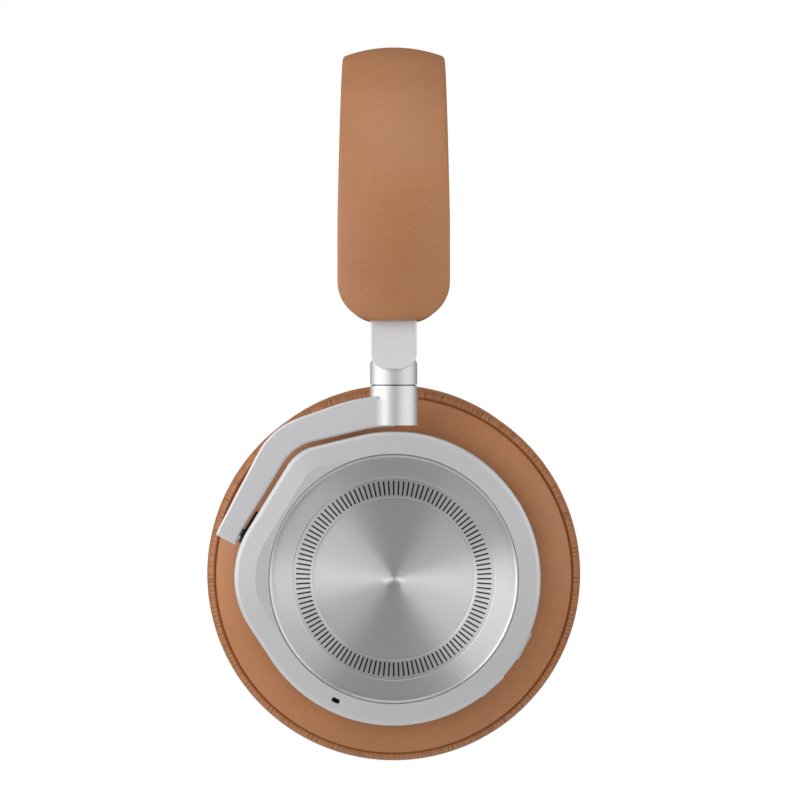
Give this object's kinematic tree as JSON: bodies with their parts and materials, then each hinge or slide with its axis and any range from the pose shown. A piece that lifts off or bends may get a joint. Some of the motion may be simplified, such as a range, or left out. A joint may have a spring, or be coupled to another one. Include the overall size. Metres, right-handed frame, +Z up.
{
  "type": "over-ear headphones",
  "caption": "Wireless over-ear headphones: leather-wrapped headband, sliding aluminium stems, one-sided swivelling yokes and round cups with thick leather ear pads.",
  "frame": {"origin": "crest of the headband cushion's underside, where it rests on a head or a stand's hook", "axes": "+Z up, +X towards the wearer's left, -Y towards the face"},
  "size_m": [0.156, 0.096, 0.1864],
  "materials": {
    "cover_leather": "fine-grained tan leather, sewn",
    "cushion_knit": "brown knitted fabric over foam",
    "spring_steel": "satin",
    "frame_plastic": "moulded nylon",
    "cable_film": "polyimide flat cable",
    "slider_aluminium": "fine-brushed and anodised",
    "barrel_aluminium": "turned and anodised",
    "yoke_aluminium": "bead-blasted and anodised",
    "pin_steel": "ground",
    "washer_plastic": "acetal",
    "housing_finish": "glass-filled polymer with a metallic silver paint, matte",
    "disc_aluminium": "turned, circular-brushed",
    "bush_plastic": "acetal",
    "boot_rubber": "silicone",
    "inner_plastic": "moulded",
    "screw_steel": "black zinc",
    "magnet_steel": "nickel plated",
    "diaphragm_film": "thin pressed film",
    "screen_fabric": "open-weave acoustic cloth",
    "pad_leather": "soft tan leather over memory foam",
    "board_resin": "glass-epoxy board",
    "battery_wrap": "shrink sleeve",
    "key_plastic": "painted to match the housing",
    "socket_plastic": "moulded",
    "socket_steel": "drawn shell"
  },
  "bodies": {
    "headband": {"headband_cover": "cover_leather", "headband_cushion": "cushion_knit", "spring_core": "spring_steel", "headband_cable": "cable_film", "crown_bridge": "frame_plastic"},
    "left_band": {"left_band_frame": "frame_plastic", "left_end_trim": "frame_plastic", "left_detent_spring": "spring_steel"},
    "left_slider": {"left_stem": "slider_aluminium", "left_slider_shoe": "frame_plastic", "left_swivel_barrel": "barrel_aluminium"},
    "left_arm": {"left_yoke": "yoke_aluminium", "left_swivel_pin": "pin_steel", "left_swivel_washer": "washer_plastic", "left_tilt_pin": "pin_steel"},
    "left_cup": {"left_housing": "housing_finish", "left_cap_disc": "disc_aluminium", "left_hinge_bush": "bush_plastic", "left_mic_boot": "boot_rubber", "left_baffle": "inner_plastic", "left_housing_screws": "screw_steel", "left_driver_frame": "inner_plastic", "left_driver_magnet": "magnet_steel", "left_driver_diaphragm": "diaphragm_film", "left_ear_screen": "screen_fabric", "left_pad_ring": "inner_plastic", "left_ear_pad": "pad_leather", "left_circuit_board": "board_resin", "audio_socket": "socket_plastic"},
    "right_band": {"right_band_frame": "frame_plastic", "right_end_trim": "frame_plastic", "right_detent_spring": "spring_steel"},
    "right_slider": {"right_stem": "slider_aluminium", "right_slider_shoe": "frame_plastic", "right_swivel_barrel": "barrel_aluminium"},
    "right_arm": {"right_yoke": "yoke_aluminium", "right_swivel_pin": "pin_steel", "right_swivel_washer": "washer_plastic", "right_tilt_pin": "pin_steel"},
    "right_cup": {"right_housing": "housing_finish", "right_cap_disc": "disc_aluminium", "right_hinge_bush": "bush_plastic", "right_mic_boot": "boot_rubber", "right_baffle": "inner_plastic", "right_housing_screws": "screw_steel", "right_driver_frame": "inner_plastic", "right_driver_magnet": "magnet_steel", "right_driver_diaphragm": "diaphragm_film", "right_ear_screen": "screen_fabric", "right_pad_ring": "inner_plastic", "right_ear_pad": "pad_leather", "right_circuit_board": "board_resin", "usb_socket": "socket_steel", "battery": "battery_wrap"},
    "noise_button_body": {"noise_button": "key_plastic"},
    "assistant_button_body": {"assistant_button": "key_plastic"},
    "volume_up_button_body": {"volume_up_button": "key_plastic"},
    "play_button_body": {"play_button": "key_plastic"},
    "volume_down_button_body": {"volume_down_button": "key_plastic"},
    "power_slider_body": {"power_slider": "key_plastic"}
  },
  "joints": [
    {"name": "left_band_flex", "type": "hinge", "parent": "headband", "child": "left_band", "pos_m": [0, 0, 0.013], "axis": [0, -1, 0], "range_deg": [0, 18], "stiffness_Nm_per_rad": 2, "deforming": ["headband_cover", "headband_cushion", "spring_core", "headband_cable"]},
    {"name": "left_length", "type": "slide", "parent": "left_band", "child": "left_slider", "axis": [0, 0, -1], "range_m": [-0.005, 0.012]},
    {"name": "left_swivel", "type": "hinge", "parent": "left_slider", "child": "left_arm", "pos_m": [0.06617, 0, -0.0763], "axis": [0, 0, 1], "range_deg": [-15, 90]},
    {"name": "left_tilt", "type": "hinge", "parent": "left_arm", "child": "left_cup", "pos_m": [0.06817, 0, -0.1254], "axis": [0, -0.9613, 0.2756], "range_deg": [-8, 8]},
    {"name": "right_band_flex", "type": "hinge", "parent": "headband", "child": "right_band", "pos_m": [0, 0, 0.013], "axis": [0, 1, 0], "range_deg": [0, 18], "stiffness_Nm_per_rad": 2, "deforming": ["headband_cover", "headband_cushion", "spring_core", "headband_cable"]},
    {"name": "right_length", "type": "slide", "parent": "right_band", "child": "right_slider", "axis": [0, 0, -1], "range_m": [-0.005, 0.012]},
    {"name": "right_swivel", "type": "hinge", "parent": "right_slider", "child": "right_arm", "pos_m": [-0.06617, 0, -0.0763], "axis": [0, 0, -1], "range_deg": [-15, 90]},
    {"name": "right_tilt", "type": "hinge", "parent": "right_arm", "child": "right_cup", "pos_m": [-0.06817, 0, -0.1254], "axis": [0, -0.9613, 0.2756], "range_deg": [-8, 8]},
    {"name": "noise_press", "type": "slide", "parent": "left_cup", "child": "noise_button_body", "axis": [0, -0.8829, 0.4695], "range_m": [0, 0.0006], "stiffness_N_per_m": 2500},
    {"name": "assistant_press", "type": "slide", "parent": "left_cup", "child": "assistant_button_body", "axis": [0, -0.6691, 0.7431], "range_m": [0, 0.0006], "stiffness_N_per_m": 2500},
    {"name": "volume_up_press", "type": "slide", "parent": "right_cup", "child": "volume_up_button_body", "axis": [0, -0.9511, 0.309], "range_m": [0, 0.0006], "stiffness_N_per_m": 2500},
    {"name": "play_press", "type": "slide", "parent": "right_cup", "child": "play_button_body", "axis": [0, -0.8192, 0.5736], "range_m": [0, 0.0006], "stiffness_N_per_m": 2500},
    {"name": "volume_down_press", "type": "slide", "parent": "right_cup", "child": "volume_down_button_body", "axis": [0, -0.6157, 0.788], "range_m": [0, 0.0006], "stiffness_N_per_m": 2500},
    {"name": "power_slide", "type": "slide", "parent": "right_cup", "child": "power_slider_body", "axis": [0, 0.9511, 0.309], "range_m": [0, 0.0028]}
  ]
}
